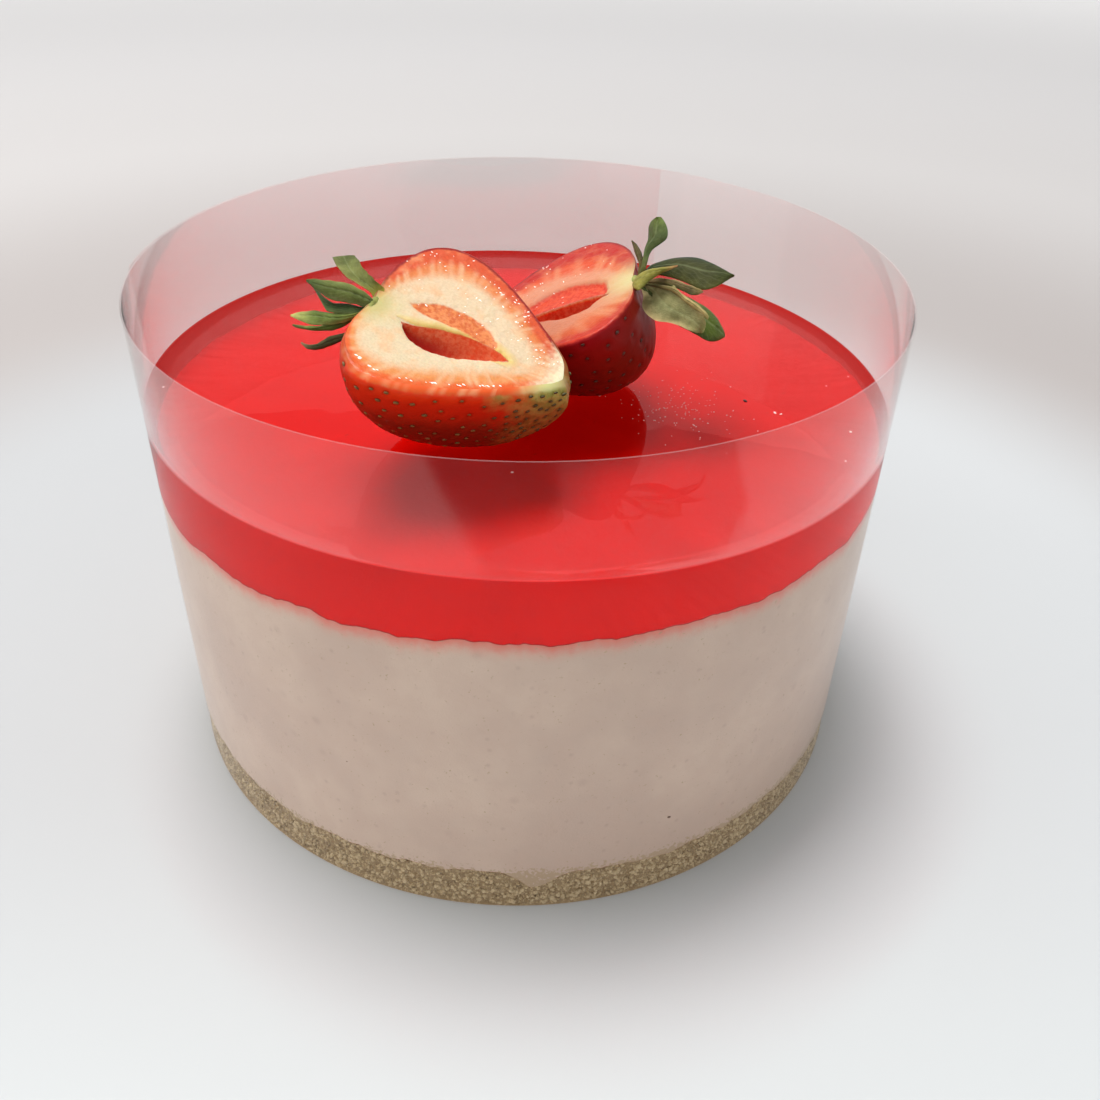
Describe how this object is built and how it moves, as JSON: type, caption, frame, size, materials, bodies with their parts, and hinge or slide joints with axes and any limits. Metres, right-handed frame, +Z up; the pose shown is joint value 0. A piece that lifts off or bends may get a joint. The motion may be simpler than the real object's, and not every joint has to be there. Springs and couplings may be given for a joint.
{
  "type": "strawberry mousse cake",
  "caption": "Round mousse cake with a crumb biscuit base and a glossy red jelly top, a cut strawberry lying on the jelly, all inside a tall clear cake collar.",
  "frame": {"origin": "middle of the cake's flat underside, on the axis of the round cake", "axes": "+Z up through the layers; seen from -Y a little from above, with +X to the right"},
  "size_m": [0.1518, 0.1518, 0.1125],
  "materials": {
    "biscuit_base": "pressed biscuit crumbs",
    "mousse": "smooth set mousse",
    "jelly": "clear red jelly, wet and glossy",
    "collar": "clear acetate film",
    "strawberry_front": "fresh strawberry",
    "strawberry_back": "fresh strawberry",
    "crown_front": "green leaves",
    "crown_back": "green leaves"
  },
  "bodies": {
    "root": {"biscuit_base": "biscuit_base", "mousse": "mousse", "jelly": "jelly", "collar": "collar", "strawberry_front": "strawberry_front", "strawberry_back": "strawberry_back", "crown_front": "crown_front", "crown_back": "crown_back"}
  },
  "joints": []
}
